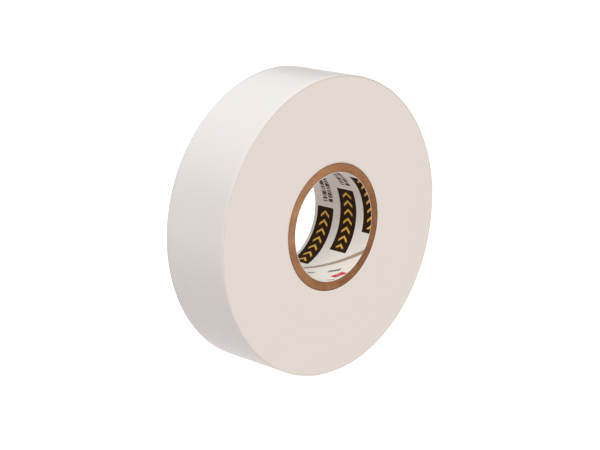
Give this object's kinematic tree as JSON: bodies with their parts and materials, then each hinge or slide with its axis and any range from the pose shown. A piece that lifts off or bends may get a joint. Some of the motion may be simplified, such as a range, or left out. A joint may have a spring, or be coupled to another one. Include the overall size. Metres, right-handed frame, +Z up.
{
  "type": "electrical tape roll",
  "caption": "Roll of white vinyl electrical tape on a spiral-wound paper core with a printed liner; the free end of the tape peels off the rim.",
  "frame": {"origin": "on the axis of the bore, half way along it", "axes": "+Y along the bore, away from the face seen first; +Z up, with the roll standing on its rim; the free end of the tape is on the +X side"},
  "size_m": [0.0729, 0.019, 0.0729],
  "materials": {
    "vinyl_tape": "semi-gloss white vinyl film on the rim, matt cream where the turns are slit",
    "kraft_board": "matt brown kraft board",
    "printed_paper": "white paper with plain dark print"
  },
  "bodies": {
    "roll": {"core_liner": "printed_paper", "core_ply_1": "kraft_board", "core_ply_2": "kraft_board", "core_ply_3": "kraft_board", "core_ply_4": "kraft_board", "tape_pack": "vinyl_tape", "tape_wrap": "vinyl_tape"},
    "end_1": {"tape_end_1": "vinyl_tape"},
    "end_2": {"tape_end_2": "vinyl_tape"},
    "end_3": {"tape_end_3": "vinyl_tape"},
    "end_4": {"tape_end_4": "vinyl_tape"},
    "end_5": {"tape_end_5": "vinyl_tape"},
    "end_6": {"tape_end_6": "vinyl_tape"}
  },
  "joints": [
    {"name": "peel_line", "type": "hinge", "parent": "roll", "child": "end_1", "pos_m": [0.01608, 0, 0.03279], "axis": [0, -1, 0], "range_deg": [0, 90]},
    {"name": "film_bend_1", "type": "hinge", "parent": "end_1", "child": "end_2", "pos_m": [0.02153, 0, 0.02952], "axis": [0, -1, 0], "range_deg": [0, 10]},
    {"name": "film_bend_2", "type": "hinge", "parent": "end_2", "child": "end_3", "pos_m": [0.02633, 0, 0.02535], "axis": [0, -1, 0], "range_deg": [0, 10]},
    {"name": "film_bend_3", "type": "hinge", "parent": "end_3", "child": "end_4", "pos_m": [0.03033, 0, 0.0204], "axis": [0, -1, 0], "range_deg": [0, 10]},
    {"name": "film_bend_4", "type": "hinge", "parent": "end_4", "child": "end_5", "pos_m": [0.03341, 0, 0.01484], "axis": [0, -1, 0], "range_deg": [0, 10]},
    {"name": "film_bend_5", "type": "hinge", "parent": "end_5", "child": "end_6", "pos_m": [0.03548, 0, 0.00883], "axis": [0, -1, 0], "range_deg": [0, 10]}
  ],
  "couplings": [
    {"joint": "film_bend_1", "follows": "peel_line", "ratio": 0.11111},
    {"joint": "film_bend_2", "follows": "peel_line", "ratio": 0.11111},
    {"joint": "film_bend_3", "follows": "peel_line", "ratio": 0.11111},
    {"joint": "film_bend_4", "follows": "peel_line", "ratio": 0.11111},
    {"joint": "film_bend_5", "follows": "peel_line", "ratio": 0.11111}
  ]
}
